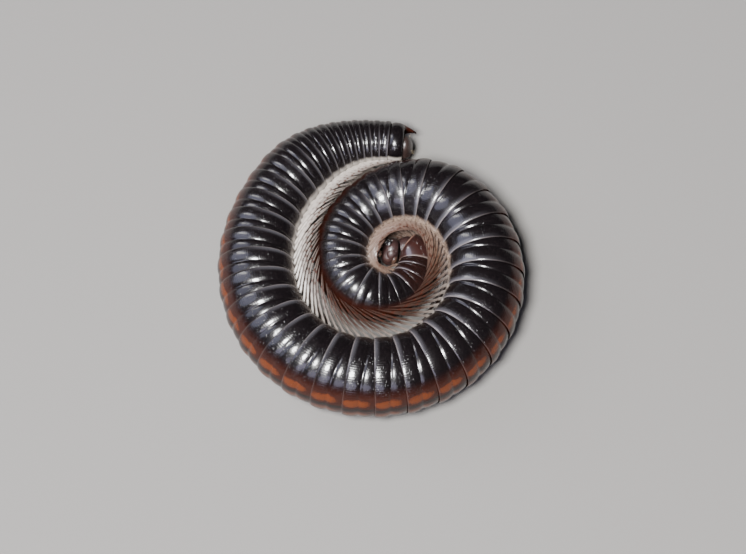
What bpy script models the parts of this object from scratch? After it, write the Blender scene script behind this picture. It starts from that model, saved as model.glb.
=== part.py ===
"""Striped millipede coiled on its side, as named solids at life size, in metres, +Z up."""
import math

import bmesh
import bpy
from mathutils import Matrix, Vector
from mathutils.bvhtree import BVHTree

# Driving dimensions of the body
BODY_LENGTH = 0.03815
RING_COUNT = 50
RINGS_PER_LENGTH = 5
COLLUM_REAR = 0.0006
TRUNK_GAP = 0.00025
SMALL_GAP = 0.00015
SIDES = 20

# Where the body line starts under the collum, and which way it runs towards the tail
LINE_START = Vector((0.00178, 0.00100))
LINE_HEADING = math.radians(-84.0)
LINE_STEPS = 2400

# Bend radius of the coil and radius of the body, each at a share of the length behind the head
BEND_RADIUS = ((0.00, 0.0034), (0.05, 0.0014), (0.10, 0.0014), (0.17, 0.0027), (0.26, 0.0026),
               (0.38, 0.0043), (0.52, 0.0045), (0.68, 0.0046), (0.84, 0.0064), (1.00, 0.0037))
BODY_RADIUS = ((0.00, 0.00068), (0.04, 0.00088), (0.10, 0.00118), (0.18, 0.00118), (0.30, 0.00158),
               (0.45, 0.00166), (0.60, 0.00166), (0.75, 0.00164), (0.88, 0.00148), (1.00, 0.00094))
RING_LENGTH_SHARE = ((0.00, 0.56), (0.10, 0.62), (0.60, 0.62), (0.88, 0.58), (1.00, 0.42))

# Shape of one ring: the front part telescopes into the ring before it, the rear part is raised
NECK_RADIUS = 0.95
NECK_SHARE = 0.32
BELLY_FLATTENING = 0.08
SHORTEST_STEP = 0.1

# Collum: how far its front has turned to the belly side, hinged this far below the body line
COLLUM_TURN = math.radians(60.0)
COLLUM_HINGE = 1.0
COLLUM_SWELL = ((0.0, 0.97), (0.25, 1.00), (0.50, 1.00), (0.80, 0.95), (1.00, 0.86))

# Head: half sizes along face, mouth and side, and its place before the collum's front
HEAD_HALF = Vector((0.00040, 0.00050, 0.00058))
HEAD_TURN = math.radians(22.0)
HEAD_AHEAD = 0.00044
HEAD_BELOW = 0.00050
HEAD_CLEARED_OF = (COLLUM_REAR, 0.0014)

# Eyes: way that they look from the middle of the head, depth of the flat behind them, half sizes
EYE_OUTWARD = Vector((0.30, -0.30, 0.9)).normalized()
EYE_DEPTH = 0.00047
EYE_HALF = Vector((0.00017, 0.00020, 0.00011))

# Antennae: spots on the way from the face to the tip, in the head's axes, for the left one
ANTENNA_PATH = ((0.00058, 0.00009, 0.00039), (0.00053, 0.00027, 0.00047), (0.00044, 0.00043, 0.00050),
                (0.00038, 0.00058, 0.00048))
ANTENNA_SPREAD = {1.0: 1.25, -1.0: 0.97}
ANTENNA_RADIUS = 0.00019

# Tail: profile of the last ring, spine over the valves, and the valves
TELSON_PROFILE = ((0.0, 0.90), (0.00008, 0.97), (0.00020, 0.93), (0.00030, 0.74))
SPINE_PATH = ((0.00035, 0.00048, 0.0), (0.00060, 0.00060, 0.00004), (0.00100, 0.00064, 0.00006))
SPINE_RADII = (0.00017, 0.00013, 0.00004)
VALVE_HALF = Vector((0.00026, 0.00042, 0.00060))
VALVE_BEHIND = 0.00072
VALVE_ABOVE = -0.00010

# Legs, one pair to each stretch of belly. Root, knee and tip: tailward share of the body's radius, angle
# from the middle of the belly, and distance from the body line as a share of its radius
BODY_ROLL = math.radians(8.0)
LEG_SPACING = 0.00090
LEG_OFFSET = 0.30
LEG_COURSE = ((0.00, 9.0, 0.74), (0.22, 21.0, 1.05), (0.72, 27.0, 1.44))
LEG_RADII = (0.00022, 0.00021, 0.00009)
LEG_SIDES = 6
LONGEST_SWEEP = 1.5

# A leg that comes too near to something is lifted by these degrees, then shortened to these shares
LEG_LIFTS = (0.0, 5.0, 10.0, 15.0)
LEG_REACHES = (1.0, 0.8, 0.6, 0.45)
LEG_FLOOR_GAP = 0.00005
LEG_GAP = 0.00010
LEG_TEST_SHARES = (0.0, 0.25, 0.5, 0.75, 1.0)
BELLY_STEPS = 60

COLOURS = {
    "ring": (0.012, 0.010, 0.012, 1.0),
    "collum": (0.060, 0.022, 0.018, 1.0),
    "head": (0.050, 0.020, 0.016, 1.0),
    "eye": (0.004, 0.004, 0.005, 1.0),
    "antenna": (0.110, 0.055, 0.040, 1.0),
}


def clear_scene():
    """Empty the file of whatever objects it holds."""
    for item in list(bpy.data.objects):
        bpy.data.objects.remove(item, do_unlink=True)


def between(table, share):
    """Ease from one station of a table to the next."""
    for (low, first), (high, second) in zip(table, table[1:]):
        if share <= high:
            ease = (max(share, low) - low) / (high - low)
            ease = ease * ease * (3.0 - 2.0 * ease)
            return first * (1.0 - ease) + second * ease
    return table[-1][1]


def trace_body_line():
    """Follow the bend radii from the collum to the tail: a point and a heading for each step."""
    step = BODY_LENGTH / LINE_STEPS
    point = LINE_START.copy()
    heading = LINE_HEADING
    line = [(point.copy(), heading)]
    for index in range(LINE_STEPS):
        half_turn = 0.5 * step / between(BEND_RADIUS, (index + 0.5) / LINE_STEPS)
        heading -= half_turn
        point = point + step * Vector((math.cos(heading), math.sin(heading)))
        heading -= half_turn
        line.append((point.copy(), heading))
    return line


BODY_LINE = trace_body_line()


def frame_at(distance):
    """Axis point on the floor plan, direction to the tail and direction to the back, at a distance."""
    index = min(max(distance / BODY_LENGTH, 0.0), 1.0) * LINE_STEPS
    low = min(int(index), LINE_STEPS - 1)
    share = index - low
    point = BODY_LINE[low][0].lerp(BODY_LINE[low + 1][0], share)
    heading = BODY_LINE[low][1] * (1.0 - share) + BODY_LINE[low + 1][1] * share
    tailward = Vector((math.cos(heading), math.sin(heading), 0.0))
    backward = Vector((-math.sin(heading), math.cos(heading), 0.0))
    return Vector((point.x, point.y, 0.0)), tailward, backward


def radius_at(distance):
    return between(BODY_RADIUS, distance / BODY_LENGTH)


def list_rings():
    """Front, rear and radius of each ring, with lengths in step with the body's thickness."""
    fronts = []
    distance = COLLUM_REAR
    for _ in range(RING_COUNT):
        fronts.append(distance)
        distance += radius_at(distance) * between(RING_LENGTH_SHARE, distance / BODY_LENGTH)
    fronts.append(distance)
    stretch = (BODY_LENGTH - COLLUM_REAR) / (distance - COLLUM_REAR)
    edges = [COLLUM_REAR + (front - COLLUM_REAR) * stretch for front in fronts]
    return [(front, rear, radius_at(0.5 * (front + rear))) for front, rear in zip(edges, edges[1:])]


UP = Vector((0.0, 0.0, 1.0))
RINGS = list_rings()
FLOOR_FACET = math.cos(math.pi / SIDES)


def girth(angle):
    """Radius of the cross section as a share: round, a little flat on the belly."""
    return 1.0 - BELLY_FLATTENING * max(0.0, -math.cos(angle)) ** 3


def loop_round(centre, backward, radius):
    """One closed loop round a centre, with a flat side turned to the floor."""
    loop = []
    for side in range(SIDES):
        angle = -0.5 * math.pi + (side + 0.5) * 2.0 * math.pi / SIDES
        reach = radius * girth(angle)
        loop.append(centre + reach * (backward * math.cos(angle) + UP * math.sin(angle)))
    return loop


def section(distance, radius, height):
    """One closed loop round the body, square to its line."""
    point, _, backward = frame_at(distance)
    return loop_round(point + UP * height, backward, radius)


def loft(name, loops):
    """Close a row of loops into one solid, with a flat cap on each end."""
    mesh = bpy.data.meshes.new(name)
    form = bmesh.new()
    rows = [[form.verts.new(spot) for spot in loop] for loop in loops]
    count = len(rows[0])
    for near, far in zip(rows, rows[1:]):
        for side in range(count):
            after = (side + 1) % count
            form.faces.new((near[side], near[after], far[after], far[side]))
    form.faces.new(rows[0])
    form.faces.new(rows[-1])
    bmesh.ops.recalc_face_normals(form, faces=form.faces)
    form.to_mesh(mesh)
    form.free()
    return bpy.data.objects.new(name, mesh)


def finish_of(kind, roughness):
    """Plain glossy shell colour of one kind of node."""
    material = bpy.data.materials.new(kind)
    material.use_nodes = True
    shader = material.node_tree.nodes["Principled BSDF"]
    shader.inputs["Base Color"].default_value = COLOURS[kind]
    shader.inputs["Roughness"].default_value = roughness
    shader.inputs["Metallic"].default_value = 0.0
    return material


def keep_largest(mesh):
    """Drop whatever is not part of the biggest closed surface."""
    form = bmesh.new()
    form.from_mesh(mesh)
    unseen = set(form.verts)
    groups = []
    while unseen:
        stack = [unseen.pop()]
        group = set(stack)
        while stack:
            for edge in stack.pop().link_edges:
                for corner in edge.verts:
                    if corner in unseen:
                        unseen.discard(corner)
                        group.add(corner)
                        stack.append(corner)
        groups.append(group)
    groups.sort(key=len)
    for group in groups[:-1]:
        bmesh.ops.delete(form, geom=list(group), context="VERTS")
    bmesh.ops.triangulate(form, faces=form.faces)
    form.to_mesh(mesh)
    form.free()


def boolean(base, others, operation, solver="EXACT"):
    """Join pieces to a base, or cut them from it, and remove them afterwards."""
    if not others:
        return base
    group = bpy.data.collections.new(base.name + "_pieces")
    bpy.context.scene.collection.children.link(group)
    for piece in others:
        group.objects.link(piece)
    if base.name not in bpy.context.scene.collection.objects:
        bpy.context.scene.collection.objects.link(base)
    modifier = base.modifiers.new("join", "BOOLEAN")
    modifier.operation = operation
    modifier.solver = solver
    modifier.operand_type = "COLLECTION"
    modifier.collection = group
    depsgraph = bpy.context.evaluated_depsgraph_get()
    depsgraph.update()
    mesh = bpy.data.meshes.new_from_object(base.evaluated_get(depsgraph))
    base.modifiers.remove(modifier)
    base.data = mesh
    for piece in others:
        bpy.data.objects.remove(piece, do_unlink=True)
    bpy.data.collections.remove(group)
    bpy.context.scene.collection.objects.unlink(base)
    keep_largest(mesh)
    return base


def leg_path(distance, side, lift, reach):
    """Root, knee and tip of a leg that leaves the belly and sweeps to the tail, out and up."""
    radius = radius_at(distance)
    bend = between(BEND_RADIUS, distance / BODY_LENGTH)
    spots = []
    for back, angle, share in LEG_COURSE:
        beyond = max(0.0, share - 1.0) * reach
        raised = angle + (lift if beyond else 0.0)
        turn = math.pi + BODY_ROLL - side * math.radians(raised)
        share = min(share, 1.0) + beyond
        narrowing = max(SHORTEST_STEP, 1.0 + radius * share * math.cos(turn) / bend)
        point, _, backward = frame_at(distance + min(back * reach / narrowing, LONGEST_SWEEP) * radius)
        ray = backward * math.cos(turn) + UP * math.sin(turn)
        spots.append(point + UP * radius * FLOOR_FACET + ray * radius * girth(turn) * share)
    return spots


def tube(name, spots, radii, sides):
    """Tapered limb through a few spots, its sections turned to the run of the limb."""
    loops = []
    for index, spot in enumerate(spots):
        before = spots[max(index - 1, 0)]
        after = spots[min(index + 1, len(spots) - 1)]
        run = (after - before).normalized()
        across = run.cross(UP)
        if across.length < 0.2:
            across = run.cross(Vector((1.0, 0.0, 0.0)))
        across.normalize()
        rise = across.cross(run)
        loops.append([spot + radii[index] * (across * math.cos(turn) + rise * math.sin(turn))
                      for turn in (2.0 * math.pi * side / sides for side in range(sides))])
    return loft(name, loops)


def roots_of(rings):
    """Distances along the body where a trunk length bears legs, evenly spread along its belly."""
    front = rings[0][0] + TRUNK_GAP
    rear = rings[-1][1]
    step = (rear - front) / BELLY_STEPS
    belly = [0.0]
    for index in range(BELLY_STEPS):
        distance = front + step * (index + 0.5)
        bend = between(BEND_RADIUS, distance / BODY_LENGTH)
        belly.append(belly[-1] + step * max(SHORTEST_STEP, 1.0 - radius_at(distance) / bend))
    count = max(1, round(belly[-1] / LEG_SPACING))
    roots = []
    for index in range(count):
        wanted = belly[-1] * (index + LEG_OFFSET) / count
        place = next(place for place in range(BELLY_STEPS) if belly[place + 1] >= wanted)
        roots.append(front + step * (place + 0.5))
    return roots


def surface_of(node):
    """Search tree over a node's faces."""
    corners = [corner.co for corner in node.data.vertices]
    return BVHTree.FromPolygons(corners, [face.vertices for face in node.data.polygons])


def fits(leg, others):
    """Whether a leg stays above the floor and keeps its gap to every surface near it."""
    own = surface_of(leg)
    if any(surface.overlap(own) for surface, _ in others):
        return False
    for edge in leg.data.edges:
        start, end = [leg.data.vertices[corner].co for corner in edge.vertices]
        for spot in [start.lerp(end, share) for share in LEG_TEST_SHARES]:
            if spot.z < LEG_FLOOR_GAP:
                return False
            if any(surface.find_nearest(spot, gap)[0] for surface, gap in others):
                return False
    return True


def legs_of(rings, others):
    """Upper and lower legs of one trunk length, each lifted, or shortened, until it clears the rest."""
    pieces = []
    near = [(surface, TRUNK_GAP) for surface in others]
    tries = [(lift, reach) for reach in LEG_REACHES for lift in LEG_LIFTS]
    for distance in roots_of(rings):
        for side in (1.0, -1.0):
            for lift, reach in tries:
                leg = tube("leg", leg_path(distance, side, lift, reach), LEG_RADII, LEG_SIDES)
                if fits(leg, near):
                    pieces.append(leg)
                    near.append((surface_of(leg), LEG_GAP))
                    break
                bpy.data.objects.remove(leg)
    return pieces


def trunk_length(name, rings):
    """Five rings in a row: a slim front part and a raised rear part each."""
    loops = []
    for place, (front, rear, radius) in enumerate(rings):
        start = front + (TRUNK_GAP if place == 0 else 0.0)
        step = max(front + NECK_SHARE * (rear - front), start + SHORTEST_STEP * (rear - front))
        height = radius * FLOOR_FACET
        loops.append(section(start, radius * NECK_RADIUS, height))
        loops.append(section(step, radius, height))
        loops.append(section(rear, radius, height))
    return loft(name, loops)


def collum():
    """Smooth shield behind the head: its sections hinge about the throat, so the back is the longest."""
    point, _, backward = frame_at(COLLUM_REAR)
    radius = radius_at(COLLUM_REAR)
    throat = point + UP * radius * FLOOR_FACET - backward * radius * COLLUM_HINGE
    loops = []
    for share, girth_share in COLLUM_SWELL:
        towards_back = Matrix.Rotation(COLLUM_TURN * share, 3, "Z") @ backward
        centre = throat + towards_back * radius * COLLUM_HINGE
        loops.append(loop_round(centre, towards_back, radius * girth_share))
    shield = loft("collum", loops)
    keep_largest(shield.data)
    return shield


def collum_opening():
    """Centre of the shield's front and the way that it faces."""
    point, tailward, backward = frame_at(COLLUM_REAR)
    radius = radius_at(COLLUM_REAR)
    turn = Matrix.Rotation(COLLUM_TURN, 3, "Z")
    throat = point + UP * radius * FLOOR_FACET - backward * radius * COLLUM_HINGE
    return throat + turn @ backward * radius * COLLUM_HINGE, turn @ -tailward


def ellipsoid(name, centre, half_sizes, segments=16, rings=10):
    """Egg shape about a centre, its poles on the side to side axis."""
    form = bmesh.new()
    bmesh.ops.create_uvsphere(form, u_segments=segments, v_segments=rings, radius=1.0)
    bmesh.ops.transform(form, matrix=Matrix.Diagonal((*half_sizes, 1.0)), verts=form.verts)
    bmesh.ops.translate(form, vec=centre, verts=form.verts)
    mesh = bpy.data.meshes.new(name)
    form.to_mesh(mesh)
    form.free()
    return bpy.data.objects.new(name, mesh)


def slice_off(piece, point, outward):
    """Cut away what lies beyond a plane and close the cut."""
    form = bmesh.new()
    form.from_mesh(piece.data)
    everything = list(form.verts) + list(form.edges) + list(form.faces)
    bmesh.ops.bisect_plane(form, geom=everything, dist=1e-7, plane_co=point, plane_no=outward,
                           clear_outer=True)
    rim = [edge for edge in form.edges if edge.is_boundary]
    bmesh.ops.holes_fill(form, edges=rim, sides=0)
    bmesh.ops.recalc_face_normals(form, faces=form.faces)
    bmesh.ops.triangulate(form, faces=form.faces)
    form.to_mesh(piece.data)
    form.free()
    return piece


def head_frame():
    """Matrix from the head's own axes (face, mouth, left side) to the world."""
    opening, facing = collum_opening()
    face = Matrix.Rotation(HEAD_TURN, 3, "Z") @ facing
    mouth = Matrix.Rotation(math.radians(90.0), 3, "Z") @ face
    below = Matrix.Rotation(math.radians(90.0), 3, "Z") @ facing
    centre = opening + facing * HEAD_AHEAD + below * HEAD_BELOW
    frame = Matrix((face, mouth, UP)).transposed().to_4x4()
    frame.translation = centre
    return frame


def head():
    """Capsule with cheeks, upper lip with its notch and under lip, sliced clear of collum and belly."""
    size = HEAD_HALF.y
    capsule = ellipsoid("head", Vector(), HEAD_HALF)
    pieces = [
        ellipsoid("lip", Vector((0.22, 0.62, 0.0)) * size, Vector((0.45, 0.58, 0.70)) * size),
        ellipsoid("under_lip", Vector((-0.40, 0.55, 0.0)) * size, Vector((0.34, 0.55, 0.58)) * size),
    ]
    for side in (1.0, -1.0):
        place = Vector((-0.10, 0.40, 0.62 * side)) * size
        pieces.append(ellipsoid("cheek", place, Vector((0.46, 0.52, 0.40)) * size, 12, 8))
    boolean(capsule, pieces, "UNION")
    notch = ellipsoid("notch", Vector((0.30, 1.26, 0.0)) * size, Vector((0.26, 0.16, 0.16)) * size, 8, 6)
    mouth = ellipsoid("mouth", Vector((-0.08, 1.10, 0.0)) * size, Vector((0.06, 0.30, 0.50)) * size, 12, 6)
    boolean(capsule, [notch, mouth], "DIFFERENCE")
    for side in (1.0, -1.0):
        outward = EYE_OUTWARD.copy()
        outward.z *= side
        slice_off(capsule, outward * EYE_DEPTH, outward)
    capsule.data.transform(head_frame())
    opening, facing = collum_opening()
    slice_off(capsule, opening + facing * SMALL_GAP, -facing)
    for distance in HEAD_CLEARED_OF:
        point, _, backward = frame_at(distance)
        belly = point - backward * (radius_at(distance) * girth(math.pi) + SMALL_GAP)
        slice_off(capsule, belly, backward)
    return capsule


def eye(name, side):
    """Low dome of one eye patch, its flat back turned to the flat on the head's side."""
    form = bmesh.new()
    bmesh.ops.create_uvsphere(form, u_segments=14, v_segments=8, radius=1.0)
    bmesh.ops.transform(form, matrix=Matrix.Diagonal((*EYE_HALF, 1.0)), verts=form.verts)
    mesh = bpy.data.meshes.new(name)
    form.to_mesh(mesh)
    form.free()
    dome = slice_off(bpy.data.objects.new(name, mesh), Vector(), Vector((0.0, 0.0, -1.0)))
    outward = EYE_OUTWARD.copy()
    outward.z *= side
    turn = Vector((0.0, 0.0, 1.0)).rotation_difference(outward).to_matrix().to_4x4()
    place = Matrix.Translation(outward * (EYE_DEPTH + SMALL_GAP))
    mesh.transform(head_frame() @ place @ turn)
    return dome


def antenna(name, side):
    """Feeler of knotty joints that thickens to its club and leaves the face beside the eye."""
    spread = side * ANTENNA_SPREAD[side]
    spots = [Vector((x, y, z * spread)) for x, y, z in ANTENNA_PATH]
    frame = head_frame()
    swollen = []
    radii = []
    for first, second in zip(spots, spots[1:]):
        for share, girth_share in ((0.0, 0.75), (0.6, 1.0)):
            swollen.append(frame @ first.lerp(second, share))
            radii.append(ANTENNA_RADIUS * girth_share)
    swollen.append(frame @ spots[-1])
    radii.append(ANTENNA_RADIUS * 0.5)
    return tube(name, swollen, radii, 8)


def tail_section(behind, share):
    """A loop round the last of the body, straight on behind the last ring."""
    point, tailward, backward = frame_at(BODY_LENGTH)
    radius = RINGS[-1][2]
    centre = point + UP * radius * FLOOR_FACET + tailward * behind
    return loop_round(centre, backward, radius * share)


def tail_point(behind, above, left):
    """A spot near the tail: behind the last ring, towards the back and to the animal's left."""
    point, tailward, backward = frame_at(BODY_LENGTH)
    axis = point + UP * RINGS[-1][2] * FLOOR_FACET
    return axis + tailward * behind + backward * above + UP * left


def telson():
    """Last ring, with its spine that points back over the valves."""
    dome = loft("telson", [tail_section(TRUNK_GAP + behind, share) for behind, share in TELSON_PROFILE])
    spine = tube("spine", [tail_point(*spot) for spot in SPINE_PATH], SPINE_RADII, 8)
    return boolean(dome, [spine], "UNION")


def valve(name, side):
    """One of the two lips that close the tail."""
    _, tailward, backward = frame_at(BODY_LENGTH)
    lips = ellipsoid(name, Vector(), VALVE_HALF)
    slice_off(lips, Vector(), Vector((-1.0, 0.0, 0.0)))
    slice_off(lips, Vector((0.0, 0.0, 0.5 * SMALL_GAP * side)), Vector((0.0, 0.0, -side)))
    frame = Matrix((tailward, backward, UP)).transposed().to_4x4()
    frame.translation = tail_point(VALVE_BEHIND, VALVE_ABOVE, 0.0)
    lips.data.transform(frame)
    return lips


def build():
    clear_scene()
    animal = bpy.data.collections.new("striped_millipede")
    bpy.context.scene.collection.children.link(animal)
    shell = finish_of("ring", 0.25)
    head_shell = finish_of("head", 0.35)
    eye_shell = finish_of("eye", 0.15)
    feeler_shell = finish_of("antenna", 0.45)
    nodes = [(collum(), finish_of("collum", 0.30)), (head(), head_shell), (telson(), shell)]
    for side, word in ((1.0, "left"), (-1.0, "right")):
        nodes.append((eye(f"eye_{word}", side), eye_shell))
        nodes.append((antenna(f"antenna_{word}", side), feeler_shell))
        nodes.append((valve(f"anal_valve_{word}", side), shell))
    trunk = []
    for number in range(RING_COUNT // RINGS_PER_LENGTH):
        rings = RINGS[number * RINGS_PER_LENGTH:(number + 1) * RINGS_PER_LENGTH]
        trunk.append((trunk_length(f"trunk_{number + 1:02d}", rings), rings))
    surfaces = {node.name: surface_of(node) for node, _ in nodes + trunk}
    for node, rings in trunk:
        others = [surface for name, surface in surfaces.items() if name != node.name]
        # The exact solver leaves open edges where a leg meets the flat step between two rings
        boolean(node, legs_of(rings, others), "UNION", "MANIFOLD")
        surfaces[node.name] = surface_of(node)
        nodes.append((node, shell))
    for node, material in nodes:
        node.data.materials.clear()
        node.data.materials.append(material)
        animal.objects.link(node)


build()
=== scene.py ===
"""Striped millipede coiled on its side, as a still museum model: its looks, at life size, in metres."""
import math
import random

import bmesh
import bpy
import numpy as np
from mathutils import Matrix, Vector


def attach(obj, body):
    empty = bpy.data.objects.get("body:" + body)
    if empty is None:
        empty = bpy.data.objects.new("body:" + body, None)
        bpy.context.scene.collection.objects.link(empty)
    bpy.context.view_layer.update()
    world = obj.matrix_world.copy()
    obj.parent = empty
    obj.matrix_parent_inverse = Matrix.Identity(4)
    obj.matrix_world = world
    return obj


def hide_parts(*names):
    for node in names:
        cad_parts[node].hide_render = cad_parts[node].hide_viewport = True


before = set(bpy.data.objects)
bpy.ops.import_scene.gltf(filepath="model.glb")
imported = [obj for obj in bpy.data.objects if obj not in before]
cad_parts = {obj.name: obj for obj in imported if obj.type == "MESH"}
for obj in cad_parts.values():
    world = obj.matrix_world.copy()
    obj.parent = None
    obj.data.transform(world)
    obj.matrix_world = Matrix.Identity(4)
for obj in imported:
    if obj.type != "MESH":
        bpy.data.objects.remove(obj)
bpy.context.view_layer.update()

# Trunk rings
# Fifty hoops of limy cuticle. Each is a smooth front part that slides into the hoop before it, a groove,
# and a swollen rear part with fine lines along the body, which ends in a thin pale edge.
BODY_LENGTH = 0.03815
RING_COUNT = 50
RINGS_PER_LENGTH = 5
COLLUM_REAR = 0.0006
LINE_START = Vector((0.00178, 0.00100))
LINE_HEADING = math.radians(-84.0)
LINE_STEPS = 2400
BELLY_FLATTENING = 0.08
SWELL = 0.994
ROLL = math.radians(8.0)
UP = Vector((0.0, 0.0, 1.0))

# Each pair holds a share of the body's length, counted from the collum, and the measure there.
BEND_RADIUS = ((0.00, 0.0034), (0.05, 0.0014), (0.10, 0.0014), (0.17, 0.0027), (0.26, 0.0026),
               (0.38, 0.0043), (0.52, 0.0045), (0.68, 0.0046), (0.84, 0.0064), (1.00, 0.0037))
BODY_RADIUS = ((0.00, 0.00068), (0.04, 0.00088), (0.10, 0.00118), (0.18, 0.00118), (0.30, 0.00158),
               (0.45, 0.00166), (0.60, 0.00166), (0.75, 0.00164), (0.88, 0.00148), (1.00, 0.00094))
RING_LENGTH_SHARE = ((0.00, 0.56), (0.10, 0.62), (0.60, 0.62), (0.88, 0.58), (1.00, 0.42))

# Each pair holds a place on one ring, from 0 at its front to 1 at its rear, and a share of its radius. The
# front part starts a lap ahead, inside the ring before it.
HOOP_SIDES = 72
GROOVE = 0.335
SWOLLEN_SHARE = 1.0 - GROOVE
GROOVE_RANGE = (0.05, 0.60)
LEAST_SPREAD = 0.4
LAP = 0.28
HOOP_PROFILE = ((-LAP, 0.905), (-0.12, 0.935), (0.00, 0.957), (0.05, 0.966), (0.11, 0.972), (0.17, 0.976),
                (0.23, 0.975), (0.28, 0.968), (0.315, 0.955), (0.345, 0.954), (0.37, 0.961), (0.42, 0.973),
                (0.48, 0.984), (0.55, 0.9925), (0.63, 0.998), (0.71, 1.000), (0.80, 0.999), (0.88, 0.996),
                (0.94, 0.991), (0.985, 0.983), (0.998, 0.974), (0.985, 0.966), (0.90, 0.962), (0.55, 0.938),
                (0.15, 0.920), (-0.12, 0.903), (-0.26, 0.897))
WELD = 1e-7
SMOOTH_ANGLE = math.radians(50.0)


def between(table, share):
    """Ease from one station of a table to the next."""
    for (low, first), (high, second) in zip(table, table[1:]):
        if share <= high:
            ease = (max(share, low) - low) / (high - low)
            ease = ease * ease * (3.0 - 2.0 * ease)
            return first * (1.0 - ease) + second * ease
    return table[-1][1]


def trace_body_line():
    """Follow the bend radii from the collum to the tail: a point and a heading for each step."""
    step = BODY_LENGTH / LINE_STEPS
    point = LINE_START.copy()
    heading = LINE_HEADING
    line = [(point.copy(), heading)]
    for index in range(LINE_STEPS):
        half_turn = 0.5 * step / between(BEND_RADIUS, (index + 0.5) / LINE_STEPS)
        heading -= half_turn
        point = point + step * Vector((math.cos(heading), math.sin(heading)))
        heading -= half_turn
        line.append((point.copy(), heading))
    return line


BODY_LINE = trace_body_line()


def frame_at(distance):
    """Axis point on the floor plan, direction to the tail and direction to the back, at a distance."""
    index = min(max(distance / BODY_LENGTH, 0.0), 1.0) * LINE_STEPS
    low = min(int(index), LINE_STEPS - 1)
    share = index - low
    point = BODY_LINE[low][0].lerp(BODY_LINE[low + 1][0], share)
    heading = BODY_LINE[low][1] * (1.0 - share) + BODY_LINE[low + 1][1] * share
    tailward = Vector((math.cos(heading), math.sin(heading), 0.0))
    backward = Vector((-math.sin(heading), math.cos(heading), 0.0))
    past = distance - min(max(distance, 0.0), BODY_LENGTH)
    return Vector((point.x, point.y, 0.0)) + tailward * past, tailward, backward


def radius_at(distance):
    return between(BODY_RADIUS, distance / BODY_LENGTH) * SWELL


def bend_at(distance):
    return between(BEND_RADIUS, distance / BODY_LENGTH)


def list_rings():
    """Front and rear of each ring, with lengths in step with the body's thickness."""
    fronts = []
    distance = COLLUM_REAR
    for _ in range(RING_COUNT):
        fronts.append(distance)
        share = distance / BODY_LENGTH
        distance += between(BODY_RADIUS, share) * between(RING_LENGTH_SHARE, share)
    fronts.append(distance)
    stretch = (BODY_LENGTH - COLLUM_REAR) / (distance - COLLUM_REAR)
    edges = [COLLUM_REAR + (front - COLLUM_REAR) * stretch for front in fronts]
    return list(zip(edges, edges[1:]))


RINGS = list_rings()


def girth(turn):
    """Radius of the cross section as a share: round, a little flat on the belly."""
    return 1.0 - BELLY_FLATTENING * max(0.0, -math.cos(turn)) ** 3


def on_body(distance, turn, share):
    """Spot at a distance behind the head, a turn from the coil's outer side and a share of the radius."""
    point, _, backward = frame_at(distance)
    radius = radius_at(distance)
    reach = radius * girth(turn) * share
    return point + backward * math.cos(turn) * reach + UP * (radius + math.sin(turn) * reach)


def linear(hex_colour):
    """An sRGB hex value as the linear colour that a shader reads."""
    values = [int(hex_colour[place:place + 2], 16) / 255.0 for place in (1, 3, 5)]
    curve = [value / 12.92 if value <= 0.04045 else ((value + 0.055) / 1.055) ** 2.4 for value in values]
    return (*curve, 1.0)


def fill(material, node, inputs):
    """Give a node's inputs their values, or their links from other nodes by the first output in use."""
    for key, value in inputs.items():
        if isinstance(value, bpy.types.Node):
            value = next(output for output in value.outputs if output.enabled)
        if isinstance(value, bpy.types.NodeSocket):
            material.node_tree.links.new(value, node.inputs[key])
        else:
            node.inputs[key].default_value = value


def add(material, kind, inputs=None, **settings):
    """Add a shader node with its settings, its values and its links.

    Inputs go by name or number. A MapRange has its value at 0, what it reads at 1 and 2, and what it gives
    at 3 and 4. A Mix of colours has its share at 0 and its colours at 6 and 7.
    """
    node = material.node_tree.nodes.new("ShaderNode" + kind)
    for name, value in settings.items():
        setattr(node, name, value)
    fill(material, node, inputs or {})
    return node


def new_finish(name):
    """A new material, its shader, and the place on the object that its patterns read."""
    material = bpy.data.materials.new(name)
    material.use_nodes = True
    place = add(material, "TexCoord").outputs["Object"]
    return material, material.node_tree.nodes["Principled BSDF"], place


def open_alone(piece):
    """Open one piece in edit mode, with nothing else selected and none of its corners."""
    bpy.ops.object.select_all(action="DESELECT")
    piece.select_set(True)
    bpy.context.view_layer.objects.active = piece
    bpy.ops.object.mode_set(mode="EDIT")
    bpy.ops.mesh.select_mode(type="VERT")
    bpy.ops.mesh.select_all(action="DESELECT")


def close_up(piece):
    """Leave edit mode with merged doubles and faces that point outwards."""
    bpy.ops.mesh.select_all(action="SELECT")
    bpy.ops.mesh.remove_doubles(threshold=WELD)
    bpy.ops.mesh.normals_make_consistent(inside=False)
    bpy.ops.mesh.select_all(action="DESELECT")
    bpy.ops.object.mode_set(mode="OBJECT")


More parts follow.
